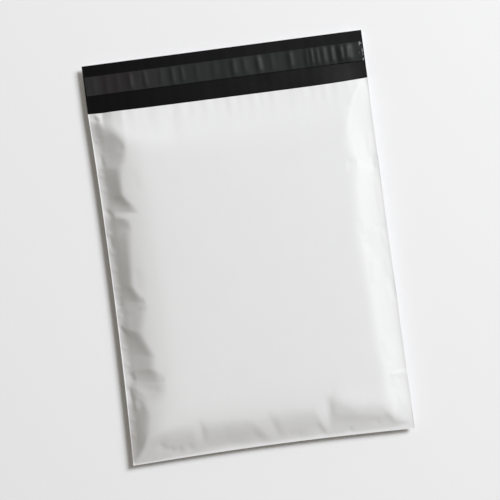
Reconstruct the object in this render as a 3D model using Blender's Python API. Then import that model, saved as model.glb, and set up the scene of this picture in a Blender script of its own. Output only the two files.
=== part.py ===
"""A puffed poly mailer bag lying on its back: one folded film bag, its adhesive strip and the release liner on it.

Metres, +Z up. The origin is on the table, under the middle of the bag's outline. The flap points along +Y.
"""

import bisect
import math
from collections import namedtuple

import bmesh
import bpy

# Driving dimensions
BAG_WIDTH = 0.280
BAG_LENGTH = 0.350  # bottom fold to mouth, at the side seams
FLAP_LENGTH = 0.048
FILM = 0.00007  # one wall of the film
FILL_LEFT = 0.0155  # front film above the left seam, past the gathers
FILL_RIGHT = 0.0054  # the same at the right, where the bag holds less
CROWN = 0.0015  # how much more the middle of the front swells
CROWN_SQUARENESS = 0.6  # under 1, the middle's swelling reaches closer to the bottom and to the mouth
SEAM_HEIGHT = 0.0057  # the flat seams float this far above the table, because the back swells too

# The outline pulls in between its corners where the bag swells
LEFT_BOW = 0.0026
RIGHT_BOW = 0.0002
BOTTOM_BOW = 0.0025
MOUTH_BOW = 0.0022
MOUTH_BOW_SQUARENESS = 5
SIDE_BOW_SQUARENESS = 0.8

# The side seams are melted through, which leaves a bead along the rim
BEAD_RADIUS = 0.00025
BEAD_WIDTH = 0.0010

# The mouth is a slit under the front film, which gapes where the mouth's gathers lift the lip
MOUTH_GAP = 0.0004  # the least height of the slit, away from its ends
MOUTH_DEPTH = 0.022
MOUTH_INNER_GAP = 0.0008  # height of the slit at its inner end
MOUTH_SEAM = 0.010  # over this width at each end the slit narrows to nothing

# Adhesive strip and release liner on the flap
SEAT_GAP = 0.0003
LINER_WIDTH = 0.019
LINER_FROM_EDGE = 0.0114
LINER_INSET = 0.0012
LINER_FILM = 0.00005
LINER_WAVE = 0.0004
LINER_DRIFT = 3.0  # the liner's waves come closer and wider apart in turns
LINER_DRIFT_PITCH = 0.019
LINER_ROWS = 5
ADHESIVE_WIDTH = 0.015
ADHESIVE_INSET = 0.003
ADHESIVE_THICKNESS = 0.0001

# How far below the front's slopes the film of the back turns down to the flat belly
BELLY_START = 0.004
BELLY_REACH = 0.027
BELLY_MOUTH_REACH = 0.070
BELLY_GATHER = 0.16  # share by which the back's slope gets wider and narrower along the rim
BELLY_GATHER_PITCH = 0.047

# Waves of the film across the mouth and the flap
WAVE_PITCH = 0.023
WAVE_SHORT_PITCH = 0.0113
WAVE_SHORT_SHARE = 0.8  # height of the short waves over that of the long ones
WAVE_PHASE = 1.0
WAVE_DRIFT = 2.0  # the short waves come closer and wider apart in turns
WAVE_DRIFT_PITCH = 0.031
LIP_WAVE = 0.00012
FLAP_WAVE = 0.00025
WAVE_FADE = 0.012
WAVE_MARGIN = 0.020

# A gather is a section line across the slope of one side. It leaves the rim at one place and ends 40 mm further
# in at another. Along it the film stays flat up to start, climbs straight until end, and then eases off.
Gather = namedtuple("Gather", "rim inner start end")
GATHER_REACH = 0.040
LEFT_GATHERS = (  # rim and inner are distances from the mouth
    Gather(-0.008, -0.008, 0.0030, 0.0300),
    Gather(0.012, 0.012, 0.0034, 0.0300),
    Gather(0.022, 0.022, 0.0042, 0.0300),
    Gather(0.030, 0.031, 0.0070, 0.0320),
    Gather(0.037, 0.035, 0.0080, 0.0335),
    Gather(0.042, 0.043, 0.0072, 0.0315),
    Gather(0.047, 0.049, 0.0062, 0.0280),
    Gather(0.055, 0.058, 0.0060, 0.0240),
    Gather(0.063, 0.064, 0.0070, 0.0235),
    Gather(0.074, 0.074, 0.0088, 0.0245),
    Gather(0.082, 0.087, 0.0100, 0.0285),
    Gather(0.089, 0.097, 0.0112, 0.0370),
    Gather(0.094, 0.106, 0.0040, 0.0380),
    Gather(0.101, 0.114, 0.0050, 0.0235),
    Gather(0.110, 0.116, 0.0048, 0.0250),
    Gather(0.118, 0.119, 0.0046, 0.0260),
    Gather(0.126, 0.126, 0.0046, 0.0240),
    Gather(0.142, 0.142, 0.0056, 0.0222),
    Gather(0.160, 0.160, 0.0066, 0.0206),
    Gather(0.168, 0.182, 0.0068, 0.0190),
    Gather(0.186, 0.196, 0.0054, 0.0305),
    Gather(0.194, 0.200, 0.0048, 0.0310),
    Gather(0.202, 0.205, 0.0056, 0.0284),
    Gather(0.208, 0.212, 0.0044, 0.0250),
    Gather(0.212, 0.231, 0.0036, 0.0205),
    Gather(0.220, 0.240, 0.0056, 0.0240),
    Gather(0.230, 0.243, 0.0068, 0.0285),
    Gather(0.239, 0.246, 0.0072, 0.0322),
    Gather(0.248, 0.250, 0.0076, 0.0312),
    Gather(0.257, 0.258, 0.0068, 0.0300),
    Gather(0.267, 0.271, 0.0064, 0.0410),
    Gather(0.269, 0.283, 0.0050, 0.0400),
    Gather(0.270, 0.292, 0.0042, 0.0340),
    Gather(0.273, 0.306, 0.0060, 0.0240),
    Gather(0.284, 0.304, 0.0076, 0.0218),
    Gather(0.298, 0.313, 0.0072, 0.0228),
    Gather(0.312, 0.322, 0.0066, 0.0216),
    Gather(0.322, 0.331, 0.0060, 0.0185),
    Gather(0.332, 0.340, 0.0042, 0.0140),
    Gather(0.346, 0.351, 0.0026, 0.0105),
)
RIGHT_GATHERS = (  # rim and inner are distances from the mouth
    Gather(-0.008, -0.008, 0.002, 0.032),
    Gather(0.037, 0.037, 0.003, 0.033),
    Gather(0.052, 0.054, 0.003, 0.034),
    Gather(0.058, 0.062, 0.003, 0.030),
    Gather(0.076, 0.074, 0.004, 0.026),
    Gather(0.088, 0.086, 0.006, 0.024),
    Gather(0.102, 0.102, 0.004, 0.028),
    Gather(0.148, 0.154, 0.003, 0.031),
    Gather(0.160, 0.160, 0.003, 0.032),
    Gather(0.190, 0.190, 0.003, 0.030),
    Gather(0.220, 0.220, 0.003, 0.028),
    Gather(0.264, 0.264, 0.003, 0.028),
    Gather(0.287, 0.284, 0.003, 0.024),
    Gather(0.302, 0.300, 0.003, 0.026),
    Gather(0.350, 0.332, 0.003, 0.027),
)
BOTTOM_GATHERS = (  # rim and inner are distances from the left corner
    Gather(-0.020, -0.020, 0.0030, 0.0230),
    Gather(0.026, 0.020, 0.0030, 0.0215),
    Gather(0.042, 0.030, 0.0050, 0.0200),
    Gather(0.062, 0.058, 0.0050, 0.0190),
    Gather(0.069, 0.066, 0.0030, 0.0210),
    Gather(0.075, 0.070, 0.0050, 0.0275),
    Gather(0.084, 0.077, 0.0060, 0.0260),
    Gather(0.128, 0.116, 0.0060, 0.0245),
    Gather(0.136, 0.131, 0.0040, 0.0225),
    Gather(0.143, 0.138, 0.0050, 0.0300),
    Gather(0.152, 0.145, 0.0060, 0.0275),
    Gather(0.188, 0.178, 0.0055, 0.0215),
    Gather(0.195, 0.193, 0.0040, 0.0220),
    Gather(0.200, 0.199, 0.0040, 0.0330),
    Gather(0.208, 0.209, 0.0045, 0.0280),
    Gather(0.222, 0.222, 0.0045, 0.0205),
    Gather(0.252, 0.244, 0.0045, 0.0180),
    Gather(0.266, 0.256, 0.0030, 0.0170),
    Gather(0.300, 0.300, 0.0030, 0.0170),
)
MOUTH_GATHERS = (  # rim and inner are distances from the left corner
    Gather(-0.002, -0.002, 0.002, 0.025),
    Gather(0.014, 0.014, -0.002, 0.028),
    Gather(0.034, 0.034, -0.030, 0.036),
    Gather(0.075, 0.075, -0.050, 0.046),
    Gather(0.200, 0.200, -0.050, 0.046),
    Gather(0.248, 0.248, -0.030, 0.040),
    Gather(0.280, 0.280, -0.002, 0.036),
)

# The foot of a slope and its shoulder are rounded by these heights and widths, and past the shoulder the film
# nears its full height over the easing length.
Side = namedtuple("Side", "gathers foot shoulder easing")
LEFT = Side(LEFT_GATHERS, 0.0026, 0.0014, 0.0160)
RIGHT = Side(RIGHT_GATHERS, 0.0018, 0.0012, 0.0135)
BOTTOM = Side(BOTTOM_GATHERS, 0.0016, 0.0028, 0.0170)
MOUTH = Side(MOUTH_GATHERS, 0.0021, 0.0014, 0.0300)
HIP_SOFTNESS = 0.0018

# Spacing of the mesh: fine over the gathers, coarse over the smooth middle
FINE_STEP = 0.0032
COARSE_STEP = 0.013
SIDE_FINE_WIDTH = 0.043
ROW_STEP = 0.0056
BOTTOM_FINE_WIDTH = 0.030
BOTTOM_FINE_STEP = 0.0036
FLAP_ROW_STEP = 0.012
LINER_COLUMN_STEP = 0.0045
MERGE_DISTANCE = 1e-7
SHARP_ANGLE = math.radians(40)

# Colour and roughness of the finishes
WHITE_FILM = ((0.775, 0.775, 0.775), 0.46)
BLACK_FILM = ((0.006, 0.006, 0.0063), 0.42)
LINER_FINISH = ((0.020, 0.023, 0.022), 0.30)
ADHESIVE_FINISH = ((0.30, 0.27, 0.20), 0.30)

BOTTOM_Y = -(BAG_LENGTH + FLAP_LENGTH) / 2
MOUTH_Y = BOTTOM_Y + BAG_LENGTH
FLAP_Y = MOUTH_Y + FLAP_LENGTH


def clear_scene():
    for obj in list(bpy.data.objects):
        bpy.data.objects.remove(obj, do_unlink=True)


def new_collection(name):
    collection = bpy.data.collections.new(name)
    bpy.context.scene.collection.children.link(collection)
    return collection


def make_material(name, finish):
    colour, roughness = finish
    material = bpy.data.materials.new(name)
    material.use_nodes = True
    shader = material.node_tree.nodes["Principled BSDF"]
    shader.inputs["Base Color"].default_value = (*colour, 1.0)
    shader.inputs["Roughness"].default_value = roughness
    material.diffuse_color = (*colour, 1.0)
    return material


def smooth_step(value):
    value = min(max(value, 0.0), 1.0)
    return value * value * (3 - 2 * value)


def smooth_min(a, b, softness):
    """The lower of two heights, with the crease between them rounded."""
    share = min(max(0.5 + 0.5 * (b - a) / softness, 0.0), 1.0)
    return b * (1 - share) + a * share - softness * share * (1 - share)


def blend(a, b, share):
    return a + (b - a) * share


def evenly(first, last, step):
    """Places from first to last, about a step apart, without the last one."""
    count = max(1, round((last - first) / step))
    return [blend(first, last, i / count) for i in range(count)]


def section_at(lines, along, depth):
    """Start and end of the slope at a place, read between the two gathers beside it."""
    inward = min(max(depth / GATHER_REACH, 0.0), 1.0)
    places = [blend(line.rim, line.inner, inward) for line in lines]
    after = min(max(bisect.bisect_right(places, along), 1), len(lines) - 1)
    first, second = lines[after - 1], lines[after]
    share = (along - places[after - 1]) / max(places[after] - places[after - 1], MERGE_DISTANCE)
    share = min(max(share, 0.0), 1.0)
    return blend(first.start, second.start, share), blend(first.end, second.end, share)


def slope_height(side, along, depth, crown):
    """Height of the film over the seams at a depth in from one side of the bag."""
    start, end = section_at(side.gathers, along, depth)
    low = min(start, 0.0)
    climb = side.foot * math.log1p(math.exp((depth - start) / side.foot))
    share = 1 - math.exp((low - end) / side.easing)
    shoulder = crown * (1 - math.exp((low - max(depth, low)) / side.easing))
    return smooth_min(share * crown / (end - start) * climb, shoulder, side.shoulder)


def half_wave(share):
    """A sine arch over the shares from 0 to 1, which never falls under 0."""
    return max(math.sin(math.pi * min(max(share, 0.0), 1.0)), 0.0)


def film_wave(across):
    """Waves across the bag, from 0 to 1, which die out at the side seams."""
    drift = WAVE_DRIFT * math.sin(across / WAVE_DRIFT_PITCH)
    wave = math.sin(2 * math.pi * across / WAVE_PITCH + WAVE_PHASE)
    wave += WAVE_SHORT_SHARE * math.sin(2 * math.pi * across / WAVE_SHORT_PITCH + drift)
    from_side = min(across, BAG_WIDTH - across)
    return (0.5 + wave / (2 + 2 * WAVE_SHORT_SHARE)) * smooth_step(from_side / WAVE_MARGIN)


def swell_height(across, up):
    """How far the front film stands over the seams, at a place of the flat outline."""
    side, end = across / BAG_WIDTH, up / BAG_LENGTH
    crown = blend(FILL_LEFT, FILL_RIGHT, side) + CROWN * half_wave(side) * half_wave(end) ** CROWN_SQUARENESS
    from_mouth = BAG_LENGTH - up
    swell = slope_height(LEFT, from_mouth, across, crown)
    swell = smooth_min(swell, slope_height(RIGHT, from_mouth, BAG_WIDTH - across, crown), HIP_SOFTNESS)
    swell = smooth_min(swell, slope_height(BOTTOM, across, up, crown), HIP_SOFTNESS)
    swell = smooth_min(swell, slope_height(MOUTH, across, from_mouth, crown), HIP_SOFTNESS)
    return max(swell, 0.0) * smooth_step(min(across, BAG_WIDTH - across, up) / BEAD_WIDTH)


def front_height(across, up):
    """The front film's outer face, over the table."""
    flat = SEAM_HEIGHT + FILM + bead_height(across)
    return flat + lip_lift(across, BAG_LENGTH - up) + swell_height(across, up)


def bead_height(across):
    """How far the melted rim stands out of the seam on either side."""
    from_rim = min(across, BAG_WIDTH - across)
    return BEAD_RADIUS * (1 - smooth_step(from_rim / BEAD_WIDTH))


def lip_lift(across, from_mouth):
    """How far the front film's lip stands off the back film."""
    from_side = min(across, BAG_WIDTH - across)
    lift = MOUTH_GAP * smooth_step(from_side / MOUTH_SEAM)
    lift += LIP_WAVE * film_wave(across) + flap_wave(across)
    return lift * math.exp(-from_mouth / WAVE_FADE)


def flap_wave(across):
    return FLAP_WAVE * film_wave(across)


def belly_slope(along, depth, reach):
    """From 0 at the rim to 1 where the back film lies flat on the table."""
    wide = reach * (1 + BELLY_GATHER * math.cos(2 * math.pi * along / BELLY_GATHER_PITCH))
    return smooth_step((depth - BELLY_START) / wide)


def back_height(across, up):
    """The back film's outer face, over the table."""
    from_mouth = BAG_LENGTH - up
    down = min(
        belly_slope(from_mouth, across, BELLY_REACH),
        belly_slope(from_mouth, BAG_WIDTH - across, BELLY_REACH),
        belly_slope(across, up, BELLY_REACH),
        smooth_step(from_mouth / BELLY_MOUTH_REACH),
    )
    wave = flap_wave(across) * math.exp(-from_mouth / WAVE_FADE)
    return (SEAM_HEIGHT - FILM - bead_height(across) + wave) * (1 - down)


def outline_point(across, up):
    """Where a place of the flat outline lies, with the rims pulled in between the corners."""
    side, end = across / BAG_WIDTH, up / BAG_LENGTH
    pull = half_wave(end) ** SIDE_BOW_SQUARENESS
    x = across - BAG_WIDTH / 2 + pull * (LEFT_BOW * (1 - side) - RIGHT_BOW * side)
    return x, BOTTOM_Y + up + BOTTOM_BOW * half_wave(side) * (1 - end) - mouth_bow(side) * end


def mouth_bow(side):
    return MOUTH_BOW * (1 - abs(2 * side - 1) ** MOUTH_BOW_SQUARENESS)


def flap_point(across, out):
    """Where a place of the flap lies, out from the mouth."""
    first = MOUTH_Y - mouth_bow(across / BAG_WIDTH)
    return across - BAG_WIDTH / 2, blend(first, FLAP_Y, out / FLAP_LENGTH)


def column_places():
    """Distances from the left rim, with close columns at the bead and over the gathers."""
    rim = [0.0, BEAD_WIDTH / 2, BEAD_WIDTH]
    left = rim[:-1] + evenly(BEAD_WIDTH, SIDE_FINE_WIDTH, FINE_STEP)
    middle = evenly(SIDE_FINE_WIDTH, BAG_WIDTH - SIDE_FINE_WIDTH, COARSE_STEP)
    right = [BAG_WIDTH - place for place in reversed(left)]
    return left + middle + [BAG_WIDTH - SIDE_FINE_WIDTH] + right


def row_places():
    """Distances from the bottom fold, up to the mouth."""
    bottom = [0.0] + evenly(BEAD_WIDTH, BOTTOM_FINE_WIDTH, BOTTOM_FINE_STEP)
    return bottom + evenly(BOTTOM_FINE_WIDTH, BAG_LENGTH, ROW_STEP) + [BAG_LENGTH]


def two_sided_grid(bm, columns, rows):
    """A grid extruded into a closed slab. Returns its lower and upper corners as {(column, row): vertex}."""
    made = bmesh.ops.create_grid(bm, x_segments=columns - 1, y_segments=rows - 1, size=1.0)
    lower = {}
    for vert in made["verts"]:
        column = round((vert.co.x + 1) / 2 * (columns - 1))
        row = round((vert.co.y + 1) / 2 * (rows - 1))
        lower[column, row] = vert
    key_of = {tuple(vert.co): key for key, vert in lower.items()}
    raised = bmesh.ops.extrude_face_region(bm, geom=bm.faces[:])["geom"]
    upper = {key_of[tuple(e.co)]: e for e in raised if isinstance(e, bmesh.types.BMVert)}
    return lower, upper


def finish_mesh(bm, name, collection, materials):
    bmesh.ops.remove_doubles(bm, verts=bm.verts, dist=MERGE_DISTANCE)
    bmesh.ops.recalc_face_normals(bm, faces=bm.faces)
    mesh = bpy.data.meshes.new(name)
    bm.to_mesh(mesh)
    bm.free()
    mesh.shade_smooth()
    mesh.set_sharp_from_angle(angle=SHARP_ANGLE)
    for material in materials:
        mesh.materials.append(material)
    obj = bpy.data.objects.new(name, mesh)
    collection.objects.link(obj)
    return obj


def open_mouth(bm, lip, floor, columns):
    """Pushes the strip between the lip and the flap inwards, and returns the corners of the slit's end."""
    strip = []
    for column in range(len(columns) - 1):
        corners = {lip[column], lip[column + 1], floor[column], floor[column + 1]}
        gap = min(lip[column + side].co.z - floor[column + side].co.z for side in (0, 1))
        if gap > MOUTH_GAP / 2:
            strip += [face for face in lip[column].link_faces if set(face.verts) == corners]
    pushed = bmesh.ops.extrude_face_region(bm, geom=strip)["geom"]
    bmesh.ops.delete(bm, geom=strip, context="FACES_ONLY")
    end = {e for e in pushed if isinstance(e, bmesh.types.BMVert)}
    for vert in end:
        column = min(range(len(columns)), key=lambda i: abs(lip[i].co.x - vert.co.x))
        across, up = columns[column], BAG_LENGTH - MOUTH_DEPTH
        roof = vert.co.z > (lip[column].co.z + floor[column].co.z) / 2
        x, y = outline_point(across, up)
        z = floor[column].co.z
        room = max(front_height(across, up) - z, 0.0) / 2
        vert.co = (x, y, z + min(MOUTH_INNER_GAP, room) if roof else z)
    return end


def paint_inner(bm, upper, floor_row, slit_end):
    """Gives the flap's inner face and the slit of the mouth the second material."""
    flap = {vert for (column, row), vert in upper.items() if row >= floor_row}
    for face in bm.faces:
        on_flap = all(vert in flap for vert in face.verts)
        in_slit = any(vert in slit_end for vert in face.verts)
        face.material_index = 1 if on_flap or in_slit else 0


def make_bag(collection, white, black):
    """The folded film: front, back and flap in one closed skin, puffed by what fills it."""
    columns, body_rows = column_places(), row_places()
    flap_rows = evenly(0.0, FLAP_LENGTH, FLAP_ROW_STEP) + [FLAP_LENGTH]
    lip_row = len(body_rows) - 1
    under_lip_row, floor_row = lip_row + 1, lip_row + 2
    bm = bmesh.new()
    lower, upper = two_sided_grid(bm, len(columns), floor_row + len(flap_rows))
    for (column, row), vert in upper.items():
        across = columns[column]
        below = lower[column, row]
        if row <= under_lip_row:
            up = body_rows[min(row, lip_row)]
            x, y = outline_point(across, up)
            drop = FILM if row == under_lip_row else 0.0
            vert.co = (x, y, front_height(across, up) - drop)
            below.co = (x, y, back_height(across, up))
        else:
            x, y = flap_point(across, flap_rows[row - floor_row])
            face = SEAM_HEIGHT + flap_wave(across)
            vert.co = (x, y, face + bead_height(across))
            below.co = (x, y, face - FILM - bead_height(across))
    lip = [upper[column, under_lip_row] for column in range(len(columns))]
    floor = [upper[column, floor_row] for column in range(len(columns))]
    paint_inner(bm, upper, floor_row, open_mouth(bm, lip, floor, columns))
    return finish_mesh(bm, "mailer_bag", collection, (white, black))


def liner_wave(across):
    """The liner stands off the adhesive in narrow waves across the strip."""
    wave = math.sin(2 * math.pi * across / WAVE_SHORT_PITCH + LINER_DRIFT * math.sin(across / LINER_DRIFT_PITCH))
    from_side = min(across, BAG_WIDTH - across)
    return LINER_WAVE * (1 + wave) / 2 * smooth_step(from_side / WAVE_MARGIN)


def make_band(name, collection, material, inset, out_places, lift, thickness, wave):
    """A thin band across the flap, that follows the flap's waves and has waves of its own."""
    columns = evenly(inset, BAG_WIDTH - inset, LINER_COLUMN_STEP) + [BAG_WIDTH - inset]
    bm = bmesh.new()
    lower, upper = two_sided_grid(bm, len(columns), len(out_places))
    for (column, row), vert in upper.items():
        across = columns[column]
        y = FLAP_Y - out_places[row]
        base = SEAM_HEIGHT + flap_wave(across) + bead_height(across) + lift
        if wave:
            base += half_wave(row / (len(out_places) - 1)) * liner_wave(across)
        lower[column, row].co = (across - BAG_WIDTH / 2, y, base)
        vert.co = (across - BAG_WIDTH / 2, y, base + thickness)
    return finish_mesh(bm, name, collection, (material,))


def make_adhesive(collection, material):
    """The band of pressure-sensitive adhesive that the liner covers."""
    edge = LINER_FROM_EDGE + (LINER_WIDTH - ADHESIVE_WIDTH) / 2
    places = [edge + ADHESIVE_WIDTH, edge]
    return make_band("adhesive_strip", collection, material, ADHESIVE_INSET, places, SEAT_GAP,
                     ADHESIVE_THICKNESS, wave=False)


def make_liner(collection, material):
    """The peel-off release liner over the adhesive."""
    places = [LINER_FROM_EDGE + LINER_WIDTH * row / (LINER_ROWS - 1) for row in reversed(range(LINER_ROWS))]
    lift = 2 * SEAT_GAP + ADHESIVE_THICKNESS
    return make_band("release_liner", collection, material, LINER_INSET, places, lift, LINER_FILM, wave=True)


def main():
    clear_scene()
    collection = new_collection("poly_mailer_bag")
    white = make_material("white_film", WHITE_FILM)
    black = make_material("black_film", BLACK_FILM)
    make_bag(collection, white, black)
    make_adhesive(collection, make_material("adhesive", ADHESIVE_FINISH))
    make_liner(collection, make_material("liner_film", LINER_FINISH))


main()
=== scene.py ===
"""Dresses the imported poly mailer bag: white film with its gathers and creases, a black flap, and the liner.

Metres throughout. Gathers are placed as on the bag laid flat: along each side of its outline, and in from it.
Creases are placed on the table: across from the left corner of the flap, and down from the flap's free edge.
"""

import math
from collections import namedtuple

import bmesh
import bpy
import numpy as np
from mathutils import Matrix, Vector


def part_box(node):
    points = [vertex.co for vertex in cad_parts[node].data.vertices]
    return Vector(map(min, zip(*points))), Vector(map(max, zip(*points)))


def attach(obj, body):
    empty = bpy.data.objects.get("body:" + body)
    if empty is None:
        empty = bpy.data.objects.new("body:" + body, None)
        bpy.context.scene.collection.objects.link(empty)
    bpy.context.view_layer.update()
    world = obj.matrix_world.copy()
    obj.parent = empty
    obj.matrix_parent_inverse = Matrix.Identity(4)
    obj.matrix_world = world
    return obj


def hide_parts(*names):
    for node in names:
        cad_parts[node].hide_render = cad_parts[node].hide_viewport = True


bl_info = {
    "name": "Poly mailer bag",
    "version": (1, 0, 0),
    "blender": (4, 5, 0),
    "location": "View3D > Sidebar > Mailer",
    "description": "Film skin, flap and release liner of a puffed poly mailer bag",
    "category": "Add Mesh",
}

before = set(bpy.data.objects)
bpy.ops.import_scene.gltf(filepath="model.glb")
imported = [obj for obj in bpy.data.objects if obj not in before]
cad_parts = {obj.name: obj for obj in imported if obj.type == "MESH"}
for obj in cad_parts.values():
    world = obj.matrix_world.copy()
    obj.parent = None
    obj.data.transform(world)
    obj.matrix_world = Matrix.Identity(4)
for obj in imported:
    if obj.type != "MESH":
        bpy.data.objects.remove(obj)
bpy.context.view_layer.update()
BAG_LOW, BAG_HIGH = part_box("mailer_bag")
LINER_LOW, LINER_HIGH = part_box("release_liner")
ADHESIVE_LOW, ADHESIVE_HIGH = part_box("adhesive_strip")

# A gather is a section line across the slope of one side. It leaves the rim at one place and ends further in,
# by GATHER_REACH, at another. Along it the film stays flat up to start, climbs straight until end, and then
# eases off.
Gather = namedtuple("Gather", "rim inner start end")
GATHER_REACH = 0.040
LEFT_GATHERS = (  # rim and inner are distances from the mouth
    Gather(-0.0080, -0.0080, 0.0030, 0.0300),
    Gather(0.0120, 0.0120, 0.0034, 0.0300),
    Gather(0.0220, 0.0220, 0.0042, 0.0300),
    Gather(0.0300, 0.0310, 0.0070, 0.0320),
    Gather(0.0400, 0.0390, 0.0090, 0.0318),
    Gather(0.0450, 0.0470, 0.0086, 0.0302),
    Gather(0.0490, 0.0530, 0.0076, 0.0282),
    Gather(0.0540, 0.0610, 0.0066, 0.0238),
    Gather(0.0630, 0.0640, 0.0070, 0.0228),
    Gather(0.0740, 0.0740, 0.0084, 0.0222),
    Gather(0.0825, 0.0860, 0.0088, 0.0222),
    Gather(0.0860, 0.0930, 0.0086, 0.0262),
    Gather(0.0905, 0.0985, 0.0074, 0.0310),
    Gather(0.0960, 0.1045, 0.0056, 0.0338),
    Gather(0.1010, 0.1130, 0.0050, 0.0226),
    Gather(0.1100, 0.1160, 0.0048, 0.0240),
    Gather(0.1180, 0.1190, 0.0046, 0.0248),
    Gather(0.1260, 0.1260, 0.0046, 0.0228),
    Gather(0.1420, 0.1420, 0.0056, 0.0212),
    Gather(0.1600, 0.1600, 0.0064, 0.0200),
    Gather(0.1700, 0.1810, 0.0066, 0.0190),
    Gather(0.1770, 0.1880, 0.0060, 0.0236),
    Gather(0.1850, 0.1950, 0.0054, 0.0292),
    Gather(0.1940, 0.2020, 0.0048, 0.0296),
    Gather(0.2020, 0.2050, 0.0056, 0.0272),
    Gather(0.2080, 0.2120, 0.0044, 0.0250),
    Gather(0.2120, 0.2290, 0.0036, 0.0215),
    Gather(0.2200, 0.2370, 0.0054, 0.0250),
    Gather(0.2300, 0.2430, 0.0066, 0.0290),
    Gather(0.2390, 0.2470, 0.0072, 0.0318),
    Gather(0.2480, 0.2510, 0.0074, 0.0308),
    Gather(0.2570, 0.2580, 0.0070, 0.0300),
    Gather(0.2610, 0.2640, 0.0068, 0.0342),
    Gather(0.2660, 0.2720, 0.0062, 0.0384),
    Gather(0.2690, 0.2830, 0.0054, 0.0376),
    Gather(0.2700, 0.2930, 0.0050, 0.0332),
    Gather(0.2730, 0.3070, 0.0056, 0.0252),
    Gather(0.2840, 0.3100, 0.0056, 0.0204),
    Gather(0.2980, 0.3150, 0.0046, 0.0196),
    Gather(0.3120, 0.3220, 0.0040, 0.0176),
    Gather(0.3220, 0.3310, 0.0034, 0.0152),
    Gather(0.3320, 0.3400, 0.0034, 0.0126),
    Gather(0.3460, 0.3510, 0.0026, 0.0105),
)
RIGHT_GATHERS = (  # rim and inner are distances from the mouth
    Gather(-0.0080, -0.0080, 0.0020, 0.0200),
    Gather(0.0120, 0.0120, 0.0020, 0.0220),
    Gather(0.0240, 0.0240, 0.0020, 0.0270),
    Gather(0.0370, 0.0370, 0.0030, 0.0300),
    Gather(0.0520, 0.0540, 0.0030, 0.0315),
    Gather(0.0580, 0.0620, 0.0030, 0.0300),
    Gather(0.0760, 0.0740, 0.0040, 0.0260),
    Gather(0.0880, 0.0860, 0.0060, 0.0240),
    Gather(0.1020, 0.1020, 0.0040, 0.0280),
    Gather(0.1480, 0.1540, 0.0030, 0.0310),
    Gather(0.1600, 0.1600, 0.0030, 0.0320),
    Gather(0.1900, 0.1900, 0.0030, 0.0300),
    Gather(0.2200, 0.2200, 0.0030, 0.0280),
    Gather(0.2640, 0.2640, 0.0030, 0.0280),
    Gather(0.2870, 0.2840, 0.0030, 0.0240),
    Gather(0.3020, 0.3000, 0.0030, 0.0260),
    Gather(0.3500, 0.3320, 0.0030, 0.0270),
)
BOTTOM_GATHERS = (  # rim and inner are distances from the left corner
    Gather(-0.0200, -0.0200, 0.0004, 0.0320),
    Gather(0.0260, 0.0160, 0.0008, 0.0310),
    Gather(0.0440, 0.0340, 0.0024, 0.0266),
    Gather(0.0655, 0.0615, 0.0032, 0.0258),
    Gather(0.0730, 0.0695, 0.0032, 0.0298),
    Gather(0.0780, 0.0745, 0.0042, 0.0262),
    Gather(0.1000, 0.0880, 0.0052, 0.0260),
    Gather(0.1350, 0.0985, 0.0036, 0.0238),
    Gather(0.1410, 0.1130, 0.0032, 0.0212),
    Gather(0.1487, 0.1345, 0.0034, 0.0264),
    Gather(0.1560, 0.1440, 0.0032, 0.0240),
    Gather(0.1700, 0.1560, 0.0034, 0.0240),
    Gather(0.1938, 0.1680, 0.0030, 0.0222),
    Gather(0.1958, 0.1800, 0.0024, 0.0202),
    Gather(0.1980, 0.1955, 0.0014, 0.0335),
    Gather(0.2080, 0.2060, 0.0014, 0.0280),
    Gather(0.2220, 0.2180, 0.0012, 0.0235),
    Gather(0.2610, 0.2340, 0.0008, 0.0190),
    Gather(0.2700, 0.2400, 0.0004, 0.0155),
    Gather(0.3000, 0.2750, 0.0004, 0.0150),
)
MOUTH_GATHERS = (  # rim and inner are distances from the left corner
    Gather(-0.0020, -0.0020, 0.0020, 0.0250),
    Gather(0.0140, 0.0140, 0.0005, 0.0280),
    Gather(0.0340, 0.0340, -0.0300, 0.0360),
    Gather(0.0750, 0.0750, -0.0500, 0.0460),
    Gather(0.2000, 0.2000, -0.0500, 0.0460),
    Gather(0.2480, 0.2480, -0.0300, 0.0400),
    Gather(0.2800, 0.2800, -0.0020, 0.0360),
)

# The foot of a slope and its shoulder are rounded by these heights and widths, and past the shoulder the film
# nears its full height over the easing length.
Side = namedtuple("Side", "gathers foot shoulder easing")
LEFT = Side(LEFT_GATHERS, 0.0024, 0.0014, 0.0210)
RIGHT = Side(RIGHT_GATHERS, 0.0018, 0.0012, 0.0135)
BOTTOM = Side(BOTTOM_GATHERS, 0.0014, 0.0028, 0.0200)
MOUTH = Side(MOUTH_GATHERS, 0.0021, 0.0014, 0.0300)
HIP_SOFTNESS = 0.0018
BLUR = 0.0009  # where slopes meet, the film bends over about this distance

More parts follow.
